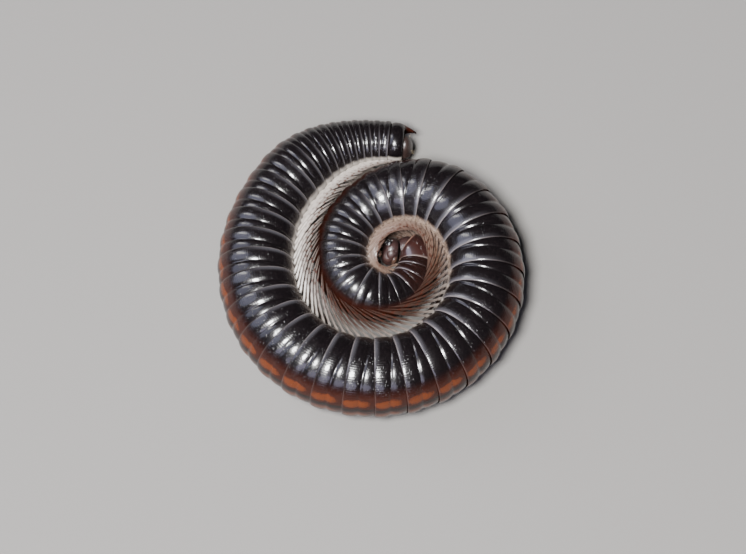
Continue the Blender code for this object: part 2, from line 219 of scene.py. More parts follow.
def drawn_out(name, sides, profile, hollow):
    """A hoop or a limb along +X: a circle extruded and resized through a profile of places and radii."""
    bpy.ops.object.select_all(action="DESELECT")
    bpy.ops.mesh.primitive_circle_add(vertices=sides, radius=1.0, rotation=(0.0, 0.5 * math.pi, 0.0))
    piece = bpy.context.object
    piece.name = name
    piece.data.name = name
    bpy.ops.object.transform_apply(location=True, rotation=True, scale=True)
    open_alone(piece)
    bpy.ops.mesh.select_all(action="SELECT")
    place, radius = profile[0]
    bpy.ops.transform.resize(value=(1.0, radius, radius), center_override=(0.0, 0.0, 0.0))
    bpy.ops.transform.translate(value=(place, 0.0, 0.0))
    if not hollow:
        bpy.ops.mesh.edge_face_add()
    for after, wider in profile[1:]:
        bpy.ops.mesh.extrude_region_move(TRANSFORM_OT_translate={"value": (after - place, 0.0, 0.0)})
        growth = wider / radius
        bpy.ops.transform.resize(value=(1.0, growth, growth), center_override=(after, 0.0, 0.0))
        place, radius = after, wider
    if hollow:
        bpy.ops.mesh.select_all(action="DESELECT")
        bpy.ops.mesh.select_mode(type="EDGE")
        bpy.ops.mesh.select_non_manifold()
        bpy.ops.mesh.bridge_edge_loops()
        bpy.ops.mesh.select_mode(type="VERT")
    close_up(piece)
    return piece


def copy_of(master, name):
    """A copy with a mesh of its own."""
    piece = master.copy()
    piece.data = master.data.copy()
    piece.name = name
    piece.data.name = name
    bpy.context.collection.objects.link(piece)
    return piece


def put_on(piece, material, node):
    """Smooth the piece, give it its finish and fix it to the model in place of the plain solid."""
    bpy.ops.object.select_all(action="DESELECT")
    piece.select_set(True)
    bpy.context.view_layer.objects.active = piece
    bpy.ops.object.shade_smooth_by_angle(angle=SMOOTH_ANGLE)
    piece.data.materials.clear()
    piece.data.materials.append(material)
    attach(piece, "root")
    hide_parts(node)


def groove_place(distance, turn):
    """Where a hoop's groove lies: the swollen rear part keeps its length where the bend spreads the hoops."""
    spread = 1.0 + radius_at(distance) * math.cos(turn) / bend_at(distance)
    groove = 1.0 - SWOLLEN_SHARE / max(spread, LEAST_SPREAD)
    return min(GROOVE_RANGE[1], max(GROOVE_RANGE[0], groove))


def lay_hoop(piece, front, rear):
    """Bend a hoop on to its stretch of the body, and keep its own measures as a map for its pattern."""
    corners = piece.data.vertices
    own = [(corner.co.x, math.atan2(corner.co.z, corner.co.y), math.hypot(corner.co.y, corner.co.z))
           for corner in corners]
    middle = 0.5 * (front + rear)
    for corner, (place, turn, share) in zip(corners, own):
        groove = groove_place(middle, turn)
        if place < GROOVE:
            moved = -LAP + (place + LAP) * (groove + LAP) / (GROOVE + LAP)
        else:
            moved = groove + (place - GROOVE) * (1.0 - groove) / (1.0 - GROOVE)
        corner.co = on_body(front + moved * (rear - front), turn, share)
    chart = piece.data.uv_layers.new(name="shell")
    for face in piece.data.polygons:
        first = None
        for loop in face.loop_indices:
            place, turn, _ = own[piece.data.loops[loop].vertex_index]
            around = (turn - ROLL) / (2.0 * math.pi)
            around -= round(around)
            if first is None:
                first = around
            around -= round(around - first)
            chart.data[loop].uv = (around, place)


# Cuticle of a julid ring: hard, limy and near black, with a wax film that gives small sharp lights over a
# broad soft sheen. Its orange patches, the pale rear edge and the pale belly lie in the same smooth skin.
# Turns are shares of a circle from the middle of the back, and places are shares of a ring from its front.
STRIPE_TURN = 14.0 / 360.0
STRIPE_HALF_WIDTH = 8.5 / 360.0
STRIPE_MIDDLE = 0.52
STRIPE_HALF_LENGTH = 0.50
BACK_TURNS = (0.045, 0.125)
# Painted shade on the stripes of the inner whorl: it lifts between these two distances from the coil's
# middle, and leaves this share of the stripes inside.
PAINTED_SHADE_REACH = (0.0038, 0.0050)
STRIPE_LEFT_IN_PAINTED_SHADE = 0.15
FLANK_TURN = 142.0 / 360.0
PORE_TURN = 78.0 / 360.0
PORE_PLACE = 0.43

# A pore is so small that this many would fit round a ring and along it.
PORES_AROUND = 190.0
PORES_ALONG = 24.0

# Each band at the rear of a ring: its start and end, how clear it is at the belly and all round, its tint.
# The wide first band is partly painted sheen, a reflection of the soft sky light; the thin second band is the
# real pale edge.
HIND_BANDS_AND_SHEEN = ((0.74, 0.96, 0.20, 0.0, "#76747A"), (0.93, 0.98, 0.16, 0.04, "#8A7F7A"))

# The pale skin and the legs are warmer around the middle of the coil.
HEAD_RING_MIDDLE = (0.0012, 0.0004, 0.0016)

# Pattern scales for each metre. Clouds are 0.4 mm wide, specks 0.07 mm, and the grains 0.1 mm, in patches of
# 2.4 mm. The fine lines lie 0.1 mm apart and the dimples are 0.09 mm wide: both are nearer 0.05 mm in life,
# and are drawn coarser so that they show.
CLOUDS = 2600.0
SPECKS = 14000.0
GRAINS = 9000.0
GRAIN_PATCHES = 420.0
DIMPLES = 11000.0
LINES_AROUND = 110.0

# Clouds make every border waver by this share of a circle, and specks and clouds fray the patches.
WAVER = 0.010
FRAYED_BY_SPECKS = 0.9
FRAYED_BY_CLOUDS = 0.7


def ring_cuticle(name, dark, light):
    """One cuticle, near black or red-brown: its colours from the flanks to the pores, then its relief."""
    material, shader, place = new_finish(name)
    split = add(material, "SeparateXYZ", {0: add(material, "UVMap", uv_map="shell")})
    turn = add(material, "Math", {0: split.outputs["X"]}, operation="ABSOLUTE")
    along = split.outputs["Y"]
    cloud = add(material, "TexNoise", {"Vector": place, "Scale": CLOUDS, "Detail": 3.0})
    speckle = add(material, "TexNoise", {"Vector": place, "Scale": SPECKS, "Detail": 4.0})
    cloud_off = add(material, "Math", {0: cloud, 1: -0.5})
    speckle_off = add(material, "Math", {0: speckle, 1: -0.5})
    waver = add(material, "Math", {0: cloud_off, 1: WAVER}, operation="MULTIPLY")
    wavy_turn = add(material, "Math", {0: turn, 1: waver})

    # Dark flanks with lighter specks, and a browner back.
    specks = add(material, "MapRange", {0: speckle, 1: 0.35, 2: 0.75}, interpolation_type="SMOOTHSTEP")
    black = add(material, "Mix", {0: specks, 6: linear(dark), 7: linear(light)}, data_type="RGBA")
    brown = add(material, "Mix", {0: cloud, 6: linear("#1E0B07"), 7: linear("#30140B")}, data_type="RGBA")
    back = add(material, "MapRange", {0: wavy_turn, 1: BACK_TURNS[1], 2: BACK_TURNS[0]},
               interpolation_type="SMOOTHSTEP")
    colour = add(material, "Mix", {0: back, 6: black, 7: brown}, data_type="RGBA")

    # An orange patch on each side of a dark middle line, in a rust-red surround with a ragged edge. Both are
    # darker on the inner turn, with painted shade from the legs that lie over them there.
    from_stripe = add(material, "Math", {0: wavy_turn, 1: -STRIPE_TURN})
    from_stripe = add(material, "Math", {0: from_stripe, 1: 1.0 / STRIPE_HALF_WIDTH}, operation="MULTIPLY")
    from_middle = add(material, "Math", {0: along, 1: -STRIPE_MIDDLE})
    from_middle = add(material, "Math", {0: from_middle, 1: 1.0 / STRIPE_HALF_LENGTH}, operation="MULTIPLY")
    across = add(material, "Math", {0: from_stripe, 1: from_stripe}, operation="MULTIPLY")
    length = add(material, "Math", {0: from_middle, 1: from_middle}, operation="MULTIPLY")
    edge = add(material, "Math", {0: length, 1: length, 2: across}, operation="MULTIPLY_ADD")
    for off, frayed in ((speckle_off, FRAYED_BY_SPECKS), (cloud_off, FRAYED_BY_CLOUDS)):
        edge = add(material, "Math", {0: off, 1: frayed, 2: edge}, operation="MULTIPLY_ADD")
    halo = add(material, "MapRange", {0: edge, 1: 2.20, 2: 0.50}, interpolation_type="SMOOTHSTEP")
    stripe = add(material, "MapRange", {0: across, 1: 3.2, 2: 0.4}, interpolation_type="SMOOTHSTEP")
    rust = add(material, "Math", {0: halo, 1: stripe}, operation="MAXIMUM")
    tan = add(material, "MapRange", {0: edge, 1: 1.00, 2: 0.10}, interpolation_type="SMOOTHSTEP")
    # Painted shade: the stripes fade towards the middle of the coil, where the legs cover them.
    from_centre = add(material, "VectorMath", {0: place}, operation="LENGTH")
    outer = add(material, "MapRange", {0: from_centre, 1: PAINTED_SHADE_REACH[0], 2: PAINTED_SHADE_REACH[1],
                                       3: STRIPE_LEFT_IN_PAINTED_SHADE})
    half_unshaded = add(material, "Math", {0: outer, 1: 0.50}, operation="MULTIPLY")
    rust = add(material, "Math", {0: rust, 1: half_unshaded}, operation="MULTIPLY")
    tan = add(material, "Math", {0: tan, 1: outer}, operation="MULTIPLY")
    middle_line = add(material, "MapRange", {0: turn, 1: 0.013, 2: 0.004}, interpolation_type="SMOOTHSTEP")
    for amount, tint in ((rust, "#240C06"), (tan, "#4A210B"), (middle_line, "#120A08")):
        colour = add(material, "Mix", {0: amount, 6: colour, 7: linear(tint)}, data_type="RGBA")

    # The rear of the ring thins to a clear band and a pale edge, more so towards the belly. The clear band is
    # partly painted sheen: its lilac grey and its strength towards the belly stand for the soft sky light it
    # reflects.
    place_along = add(material, "Math", {0: waver, 1: 2.0, 2: along}, operation="MULTIPLY_ADD")
    belly_side = add(material, "MapRange", {0: turn, 1: 0.13, 2: 0.33}, interpolation_type="SMOOTHSTEP")
    for start, end, at_belly, all_round, tint in HIND_BANDS_AND_SHEEN:
        thin = add(material, "MapRange", {0: place_along, 1: start, 2: end}, interpolation_type="SMOOTHSTEP")
        clear = add(material, "Math", {0: belly_side, 1: at_belly, 2: all_round}, operation="MULTIPLY_ADD")
        thin = add(material, "Math", {0: thin, 1: clear}, operation="MULTIPLY")
        colour = add(material, "Mix", {0: thin, 6: colour, 7: linear(tint)}, data_type="RGBA")

    # Pale belly, warm and grained around the head.
    belly_turn = add(material, "Math", {0: waver, 1: 1.4, 2: turn}, operation="MULTIPLY_ADD")
    belly = add(material, "MapRange", {0: belly_turn, 1: FLANK_TURN, 2: FLANK_TURN + 0.035},
                interpolation_type="SMOOTHSTEP")
    pale = add(material, "Mix", {0: cloud, 6: linear("#76706A"), 7: linear("#9C948B")}, data_type="RGBA")
    from_head = add(material, "VectorMath", {0: place, 1: HEAD_RING_MIDDLE}, operation="DISTANCE")
    warm = add(material, "MapRange", {0: from_head, 1: 0.0030, 2: 0.0020}, interpolation_type="SMOOTHSTEP")
    warm = add(material, "Math", {0: warm, 1: 0.8}, operation="MULTIPLY")
    gritty = add(material, "MapRange", {0: speckle, 1: 0.40, 2: 0.62}, interpolation_type="SMOOTHSTEP")
    grit = add(material, "Mix", {0: gritty, 6: linear("#4E3A2E"), 7: linear("#7E6857")}, data_type="RGBA")
    pale = add(material, "Mix", {0: warm, 6: pale, 7: grit}, data_type="RGBA")
    colour = add(material, "Mix", {0: belly, 6: colour, 7: pale}, data_type="RGBA")

    # One dark gland pore on each side.
    pore = add(material, "CombineXYZ", {0: turn, 1: along})
    pore = add(material, "VectorMath", {0: pore, 1: (-PORE_TURN, -PORE_PLACE, 0.0)})
    pore = add(material, "VectorMath", {0: pore, 1: (PORES_AROUND, PORES_ALONG, 0.0)}, operation="MULTIPLY")
    pore = add(material, "VectorMath", {0: pore, 1: pore}, operation="DOT_PRODUCT")
    pore = add(material, "MapRange", {0: pore, 1: 1.2, 2: 0.5}, interpolation_type="SMOOTHSTEP")
    colour = add(material, "Mix", {0: pore, 6: colour, 7: linear("#050303")}, data_type="RGBA")

    # Fine lines on the swollen part, dimples all over, the pore's pit, and patches of shiny grains.
    lines = add(material, "Math", {0: split.outputs["X"], 1: LINES_AROUND * 2.0 * math.pi},
                operation="MULTIPLY")
    lines = add(material, "Math", {0: lines}, operation="SINE")
    for start, end in ((GROOVE + 0.02, GROOVE + 0.12), (0.99, 0.93)):
        rear_part = add(material, "MapRange", {0: along, 1: start, 2: end}, interpolation_type="SMOOTHSTEP")
        lines = add(material, "Math", {0: lines, 1: rear_part}, operation="MULTIPLY")
    dimple = add(material, "TexVoronoi", {"Vector": place, "Scale": DIMPLES}, feature="SMOOTH_F1")
    grain = add(material, "TexVoronoi", {"Vector": place, "Scale": GRAINS})
    grain = add(material, "MapRange", {0: grain, 1: 0.32, 2: 0.05}, interpolation_type="SMOOTHSTEP")
    patch = add(material, "TexNoise", {"Vector": place, "Scale": GRAIN_PATCHES, "Detail": 1.0})
    patch = add(material, "MapRange", {0: patch, 1: 0.36, 2: 0.56}, interpolation_type="SMOOTHSTEP")
    grain = add(material, "Math", {0: grain, 1: patch}, operation="MULTIPLY")
    relief = add(material, "Bump", {"Height": lines, "Strength": 0.45, "Distance": 0.000004})
    relief = add(material, "Bump", {"Height": dimple, "Strength": 0.55, "Distance": 0.000006,
                                    "Normal": relief})
    relief = add(material, "Bump", {"Height": pore, "Strength": 0.8, "Distance": 0.00002,
                                    "Normal": relief}, invert=True)
    relief = add(material, "Bump", {"Height": grain, "Strength": 0.8, "Distance": 0.000014,
                                    "Normal": relief})

    # The wax film is thickest on the swollen part and thin on the back.
    rough = add(material, "MapRange", {0: speckle, 3: 0.16, 4: 0.32})
    swollen = add(material, "MapRange", {0: along, 1: GROOVE - 0.06, 2: GROOVE, 3: 0.20, 4: 0.46})
    glossy = add(material, "MapRange", {0: turn, 1: 0.06, 2: 0.13, 3: 0.25})
    wax = add(material, "Math", {0: swollen, 1: glossy}, operation="MULTIPLY")
    fill(material, shader, {"Base Color": colour, "Normal": relief, "Roughness": rough, "Coat Weight": wax,
                            "IOR": 1.43, "Specular IOR Level": 0.36, "Coat Roughness": 0.08,
                            "Coat IOR": 1.48})
    return material


RING_CUTICLE = ring_cuticle("julid_ring_cuticle", "#070506", "#0F0B0C")
NECK_RING_CUTICLE = ring_cuticle("neck_ring_cuticle", "#110706", "#1C0D0A")
NECK_RINGS = 3
hoop = drawn_out("hoop", HOOP_SIDES, HOOP_PROFILE, hollow=True)
for number, (front, rear) in enumerate(RINGS):
    piece = copy_of(hoop, f"ring_{number + 1:02d}")
    lay_hoop(piece, front, rear)
    cuticle = NECK_RING_CUTICLE if number < NECK_RINGS else RING_CUTICLE
    put_on(piece, cuticle, f"trunk_{number // RINGS_PER_LENGTH + 1:02d}")
bpy.data.objects.remove(hoop)

# Legs
# Two pairs hang from each ring behind the fourth, one pair from each ring before it, and none from the last
# three. A leg is six thin tubes of chitin with a claw, on soft dark joints, and lies back along the belly.
LEG_SIDES = 6
LEG_RADIUS = 0.000062
LEG_JOINTS = (0.105, 0.25, 0.45, 0.60, 0.76)
LEG_PROFILE = ((0.0, 1.20), (0.085, 1.10), (0.105, 0.80), (0.20, 1.15), (0.25, 0.78), (0.40, 1.05),
               (0.45, 0.70), (0.56, 0.90), (0.60, 0.62), (0.72, 0.80), (0.76, 0.55), (0.92, 0.42),
               (0.955, 0.24), (1.0, 0.04))
LEG_PLACES = (0.36, 0.82)
SINGLE_LEG_PLACE = (0.6,)
FIRST_DOUBLE_RING = 3
LEGLESS_RINGS = 3
SIDES = ((1.0, "left"), (-1.0, "right"))

# Each step of a leg holds its length towards the tail in body radii, its turn from the middle of the belly
# in degrees, and its share of the body's radius. Where the coil is tight, the turn grows by the crowding.
LEG_COURSE = ((0.00, 10.0, 0.88), (0.12, 24.0, 1.04), (0.28, 33.0, 1.10), (0.34, 37.0, 1.18),
              (0.28, 37.0, 1.30), (0.22, 33.0, 1.44), (0.13, 28.0, 1.54))
LEG_CROWDING = (0.0, 2.0, 6.0, 10.0, 10.0, 8.0, 6.0)
LEG_STRETCH = (0.94, 1.06)
TIGHT_BEND = 1.15
TIGHT_TO_OPEN = 1.2
TIGHT_SPREAD = 0.75
TIGHT_STEP = 0.6
LEAST_NARROWING = 0.35
LEAN_FOR_EACH_STEP = 3.0
EASE_PASSES = 12
EASING = 0.2

# A limb's direction is taken over this share of its length to each side, and one as steep as this stands.
RUN_SHARE = 0.06
UPRIGHT = 0.2

# Each pair holds a share of the body's length, counted from the collum, and how far the legs stand out there,
# how much they are tangled, and how pale they are. Their paleness is painted light and shade: pale where the
# coil lies in the light, and darker in the lower bend, where they are also wilder.
LEG_SPREAD = ((0.00, 1.0), (0.08, 1.6), (0.24, 1.7), (0.34, 1.35), (0.66, 1.35), (0.78, 1.0), (1.00, 1.0))
LEG_DISORDER = ((0.00, 2.0), (0.24, 2.0), (0.36, 6.0), (0.62, 6.0), (0.74, 2.0), (1.00, 2.0))
LEG_PAINTED_LIGHT = ((0.00, 0.30), (0.24, 0.25), (0.34, 0.02), (0.58, 0.02), (0.68, 0.45), (0.80, 0.95),
                (1.00, 0.95))
PALENESS_CHANCE = (0.8, 1.0)

leg_chance = random.Random(11)
axis_places = np.linspace(0.0, BODY_LENGTH, 380)
axis_spots = np.array([on_body(place, 0.0, 0.0) for place in axis_places])
axis_backs = np.array([frame_at(place)[2] for place in axis_places])
axis_radii = np.array([radius_at(place) for place in axis_places])


def rest_on_body(spots, thickness):
    """Ease a limb's spots out of every ring that they sink into and off the floor, all but its root."""
    for _ in range(EASE_PASSES):
        away = spots[1:, None, :] - axis_spots[None, :, :]
        far = np.linalg.norm(away, axis=2)
        inward = np.clip(-(away * axis_backs).sum(axis=2) / far, 0.0, 1.0)
        sunk = axis_radii * (1.0 - BELLY_FLATTENING * inward ** 3) + thickness - far
        worst = sunk.argmax(axis=1)
        rows = np.arange(len(worst))
        push = np.maximum(sunk[rows, worst], 0.0) / far[rows, worst]
        spots[1:] += away[rows, worst] * push[:, None]
        spots[:, 2] = np.maximum(spots[:, 2], thickness)
        spots[1:-1] = (1.0 - 2.0 * EASING) * spots[1:-1] + EASING * (spots[:-2] + spots[2:])
    return spots


def leg_course(distance, side):
    """Spots of one leg from its root in the belly to its claw: swept to the tail, out and up a little."""
    radius = radius_at(distance)
    bend = bend_at(distance)
    room = min(1.0, max(0.0, (bend / radius - TIGHT_BEND) / TIGHT_TO_OPEN))
    stretch = leg_chance.uniform(*LEG_STRETCH)
    lean = leg_chance.uniform(-1.0, 1.0) * between(LEG_DISORDER, distance / BODY_LENGTH)
    reach = TIGHT_SPREAD + (1.0 - TIGHT_SPREAD) * room
    spread = between(LEG_SPREAD, distance / BODY_LENGTH)
    place = distance
    spots = []
    for (step, lift, share), crowding in zip(LEG_COURSE, LEG_CROWDING):
        share = 1.0 + (share - 1.0) * reach * spread
        lift = lift + lean * step * LEAN_FOR_EACH_STEP + crowding * (1.0 - room)
        turn = math.pi + ROLL - side * math.radians(lift)
        narrowing = max(LEAST_NARROWING, 1.0 + radius * share * math.cos(turn) / bend)
        place += stretch * step * radius * (TIGHT_STEP + (1.0 - TIGHT_STEP) * room) / narrowing
        spots.append(on_body(place, turn, share * radius / radius_at(place)))
    return rest_on_body(np.array(spots), LEG_RADIUS)


def keep_map(piece, measures):
    """Keep two measures of each corner as the piece's map for its pattern."""
    chart = piece.data.uv_layers.new(name="shell")
    for loop in piece.data.loops:
        chart.data[loop.index].uv = measures[loop.vertex_index]


def lay_limb(piece, spots, radius, shade):
    """Bend a straight limb along its spots, and keep its measures as a map: shade across, place along."""
    reach = np.concatenate([[0.0], np.cumsum(np.linalg.norm(np.diff(spots, axis=0), axis=1))])
    corners = piece.data.vertices
    measures = [(shade, corner.co.x) for corner in corners]

    def spot_at(share):
        return Vector([float(np.interp(share * reach[-1], reach, spots[:, axis])) for axis in range(3)])

    for corner in corners:
        share = corner.co.x
        run = (spot_at(min(share + RUN_SHARE, 1.0)) - spot_at(max(share - RUN_SHARE, 0.0))).normalized()
        across = run.cross(UP)
        if across.length < UPRIGHT:
            across = run.cross(Vector((1.0, 0.0, 0.0)))
        across.normalize()
        rise = across.cross(run)
        corner.co = spot_at(share) + radius * (across * corner.co.y + rise * corner.co.z)
    keep_map(piece, measures)


# Thin chitin of a leg lets light through, so it looks grey-beige where it is lit and brown towards the claw:
# the grey-beige is painted light, laid on most where the coil is lit, and the brown stands for painted shade
# in the lower bend. The soft skin of each joint shows as a dark red-brown ring. Its clouds are 0.2 mm wide.
JOINT_DEPTHS = (0.12, 0.20, 0.40, 0.65, 0.80)


def leg_chitin():
    material, shader, place = new_finish("julid_leg_chitin")
    split = add(material, "SeparateXYZ", {0: add(material, "UVMap", uv_map="shell")})
    along = split.outputs["Y"]
    cloud = add(material, "TexNoise", {"Vector": place, "Scale": 5200.0, "Detail": 3.0})
    brown = add(material, "Mix", {0: cloud, 6: linear("#180D09"), 7: linear("#2F2019")}, data_type="RGBA")
    # Painted light and shade: each leg's share of the lit grey comes from its place in the coil, and its root
    # is paler as well.
    grey = add(material, "Mix", {0: cloud, 6: linear("#7F7770"), 7: linear("#A59D95")}, data_type="RGBA")
    root = add(material, "MapRange", {0: along, 1: 0.22, 2: 0.46, 3: 0.34, 4: 0.0})
    root_and_lit_paleness = add(material, "Math", {0: split.outputs["X"], 1: root}, operation="MAXIMUM")
    colour = add(material, "Mix", {0: root_and_lit_paleness, 6: brown, 7: grey}, data_type="RGBA")
    from_head = add(material, "VectorMath", {0: place, 1: HEAD_RING_MIDDLE}, operation="DISTANCE")
    warm = add(material, "MapRange", {0: from_head, 1: 0.0023, 2: 0.0015, 4: 0.45})
    colour = add(material, "Mix", {0: warm, 6: colour, 7: linear("#644A3B")}, data_type="RGBA")
    far = add(material, "MapRange", {0: along, 1: 0.45, 2: 1.0, 4: 0.80})
    colour = add(material, "Mix", {0: far, 6: colour, 7: linear("#22110B")}, data_type="RGBA")
    for joint, depth in zip(LEG_JOINTS, JOINT_DEPTHS):
        off = add(material, "Math", {0: along, 1: -joint})
        off = add(material, "Math", {0: off}, operation="ABSOLUTE")
        ring = add(material, "MapRange", {0: off, 1: 0.030, 2: 0.010, 4: depth})
        colour = add(material, "Mix", {0: ring, 6: colour, 7: linear("#33160D")}, data_type="RGBA")
    relief = add(material, "Bump", {"Height": cloud, "Strength": 0.4, "Distance": 0.00001})
    fill(material, shader, {"Base Color": colour, "Normal": relief, "Roughness": 0.36, "IOR": 1.45,
                            "Specular IOR Level": 0.25, "Coat Weight": 0.08, "Coat Roughness": 0.18})
    return material


LEG_CHITIN = leg_chitin()
leg = drawn_out("leg", LEG_SIDES, LEG_PROFILE, hollow=False)
for number, (front, rear) in enumerate(RINGS[:RING_COUNT - LEGLESS_RINGS]):
    places = LEG_PLACES if number >= FIRST_DOUBLE_RING else SINGLE_LEG_PLACE
    for pair, share in enumerate(places):
        distance = front + share * (rear - front)
        for side, word in SIDES:
            piece = copy_of(leg, f"leg_{word}_{number + 1:02d}_{pair + 1}")
            # Painted light and shade: how lit each leg looks, by its place in the coil.
            shade = between(LEG_PAINTED_LIGHT, distance / BODY_LENGTH) * leg_chance.uniform(*PALENESS_CHANCE)
            lay_limb(piece, leg_course(distance, side), LEG_RADIUS, shade)
            put_on(piece, LEG_CHITIN, f"trunk_{number // RINGS_PER_LENGTH + 1:02d}")
bpy.data.objects.remove(leg)

# Collum
# The smooth shield behind the head: one bent plate of red-brown chitin that covers the neck like a saddle,
# widest on the back and narrow at the throat, with a thin pale rim in front and behind.
COLLUM_TURN = math.radians(60.0)
COLLUM_SIDES = 72
COLLUM_PROFILE = ((-0.12, 0.945), (-0.06, 0.972), (0.0, 0.985), (0.10, 0.996), (0.25, 1.003), (0.42, 1.005),
                  (0.58, 0.998), (0.72, 0.980), (0.84, 0.945), (0.93, 0.905), (0.985, 0.872), (1.0, 0.852),
                  (0.99, 0.838), (0.90, 0.860), (0.60, 0.930), (0.20, 0.950), (-0.08, 0.930))
collum_point, collum_tailward, collum_back = frame_at(COLLUM_REAR)
collum_radius = radius_at(COLLUM_REAR)
throat = collum_point + UP * collum_radius - collum_back * collum_radius


def collum_chitin():
    """Red-brown chitin under a wax film: clear depth in the dome, clouds 0.25 mm wide, a pale hard rim."""
    material, shader, place = new_finish("collum_chitin")
    split = add(material, "SeparateXYZ", {0: add(material, "UVMap", uv_map="shell")})
    cloud = add(material, "TexNoise", {"Vector": place, "Scale": 4200.0, "Detail": 4.0})
    colour = add(material, "Mix", {0: cloud, 6: linear("#150A09"), 7: linear("#2B1410")}, data_type="RGBA")
    for start, end, tint in ((0.93, 0.985, "#8A6A5C"), (0.06, -0.04, "#6E625C")):
        rim = add(material, "MapRange", {0: split.outputs["Y"], 1: start, 2: end, 4: 0.7})
        colour = add(material, "Mix", {0: rim, 6: colour, 7: linear(tint)}, data_type="RGBA")
    relief = add(material, "Bump", {"Height": cloud, "Strength": 0.25, "Distance": 0.000008})
    fill(material, shader, {"Base Color": colour, "Normal": relief, "Roughness": 0.30, "IOR": 1.56,
                            "Coat Weight": 0.8, "Coat Roughness": 0.08})
    return material


shield = drawn_out("collum_shield", COLLUM_SIDES, COLLUM_PROFILE, hollow=True)
shield_places = [corner.co.copy() for corner in shield.data.vertices]
for corner, own in zip(shield.data.vertices, shield_places):
    turn = math.atan2(own.z, own.y)
    towards_back = Matrix.Rotation(COLLUM_TURN * own.x, 3, "Z") @ collum_back
    reach = collum_radius * girth(turn) * math.hypot(own.y, own.z)
    corner.co = throat + towards_back * (collum_radius + reach * math.cos(turn)) + UP * reach * math.sin(turn)
keep_map(shield, [(math.atan2(own.z, own.y) / (2.0 * math.pi), own.x) for own in shield_places])
put_on(shield, collum_chitin(), "collum")

# Head
# A rounded capsule of red-brown chitin with a paler upper lip that is notched in the middle, a bulging cheek
# over each jaw and a flat under lip. It is bent under the collum on a neck of soft dark skin.
HEAD_HALF = Vector((0.00040, 0.00050, 0.00058))
HEAD_TURN = math.radians(22.0)
HEAD_AHEAD = 0.00044
HEAD_BELOW = 0.00050
HEAD_CLEARED_OF = (COLLUM_REAR, 0.0014)
HEAD_GAP = 0.00006

opening = throat + Matrix.Rotation(COLLUM_TURN, 3, "Z") @ collum_back * collum_radius
facing = Matrix.Rotation(COLLUM_TURN, 3, "Z") @ -collum_tailward
face_way = Matrix.Rotation(HEAD_TURN, 3, "Z") @ facing
mouth_way = Matrix.Rotation(math.radians(90.0), 3, "Z") @ face_way
below_way = Matrix.Rotation(math.radians(90.0), 3, "Z") @ facing
HEAD_FRAME = Matrix((face_way, mouth_way, UP)).transposed().to_4x4()
HEAD_FRAME.translation = opening + facing * HEAD_AHEAD + below_way * HEAD_BELOW


def egg(name, centre, half_sizes, segments, rings):
    """A ball added at its place and drawn to its half sizes, left open in edit mode."""
    bpy.ops.object.select_all(action="DESELECT")
    bpy.ops.mesh.primitive_uv_sphere_add(segments=segments, ring_count=rings, radius=1.0)
    piece = bpy.context.object
    piece.name = name
    piece.data.name = name
    open_alone(piece)
    bpy.ops.mesh.select_all(action="SELECT")
    bpy.ops.transform.resize(value=tuple(half_sizes), center_override=(0.0, 0.0, 0.0))
    bpy.ops.transform.translate(value=tuple(centre))
    bpy.ops.mesh.select_all(action="DESELECT")
    return piece


def pull(piece, rule, way, around):
    """In edit mode, move the corners that fit a rule, and ease those around them along."""
    form = bmesh.from_edit_mesh(piece.data)
    for corner in form.verts:
        corner.select = bool(rule(corner.co))
    form.select_flush(True)
    bmesh.update_edit_mesh(piece.data)
    bpy.ops.transform.translate(value=way, use_proportional_edit=True, proportional_edit_falloff="SMOOTH",
                                proportional_size=around)


def trim(point, outward):
    """In edit mode, cut away what lies beyond a plane and close the cut."""
    bpy.ops.mesh.select_all(action="SELECT")
    bpy.ops.mesh.bisect(plane_co=tuple(point), plane_no=tuple(outward), use_fill=True, clear_outer=True,
                        threshold=WELD)


def seat_on_head(piece):
    """Move a piece made upright to its place on the head, and open it again to be trimmed."""
    bpy.ops.object.mode_set(mode="OBJECT")
    piece.data.transform(HEAD_FRAME)
    open_alone(piece)


def clear_of_body():
    """In edit mode, cut away what would reach the collum or the first ring."""
    for distance in HEAD_CLEARED_OF:
        point, _, backward = frame_at(distance)
        trim(point - backward * (radius_at(distance) * girth(math.pi) + HEAD_GAP), backward)


def head_chitin(name, dark, light, lip):
    """Satin red-brown chitin with a darker net and fine pits, paler where it thins towards the lip.

    Its clouds are 0.15 mm wide. The net's meshes are 0.08 mm wide, twice as wide as real ones, to show.
    """
    material, shader, place = new_finish(name)
    cloud = add(material, "TexNoise", {"Vector": place, "Scale": 7000.0, "Detail": 5.0, "Roughness": 0.6})
    net = add(material, "TexVoronoi", {"Vector": place, "Scale": 13000.0}, feature="DISTANCE_TO_EDGE")
    colour = add(material, "Mix", {0: cloud, 6: linear(dark), 7: linear(light)}, data_type="RGBA")
    meshwork = add(material, "MapRange", {0: net, 1: 0.10, 2: 0.0, 4: 0.45})
    colour = add(material, "Mix", {0: meshwork, 6: colour, 7: linear("#1A0C09")}, data_type="RGBA")
    down = add(material, "VectorMath", {0: place, 1: tuple(-HEAD_FRAME.translation)})
    down = add(material, "VectorMath", {0: down, 1: tuple(mouth_way)}, operation="DOT_PRODUCT")
    thin = add(material, "MapRange", {0: down, 1: 0.00030, 2: 0.00060, 4: 0.8})
    colour = add(material, "Mix", {0: thin, 6: colour, 7: linear(lip)}, data_type="RGBA")
    relief = add(material, "Bump", {"Height": net, "Strength": 0.9, "Distance": 0.000020})
    fill(material, shader, {"Base Color": colour, "Normal": relief, "Roughness": 0.42, "IOR": 1.5,
                            "Coat Weight": 0.25, "Coat Roughness": 0.14})
    return material


HEAD_CHITIN = head_chitin("head_chitin", "#140C0C", "#35211F", "#33201D")
EYE_OUTWARD = Vector((0.30, -0.30, 0.9)).normalized()
EYE_DEPTH = 0.00047

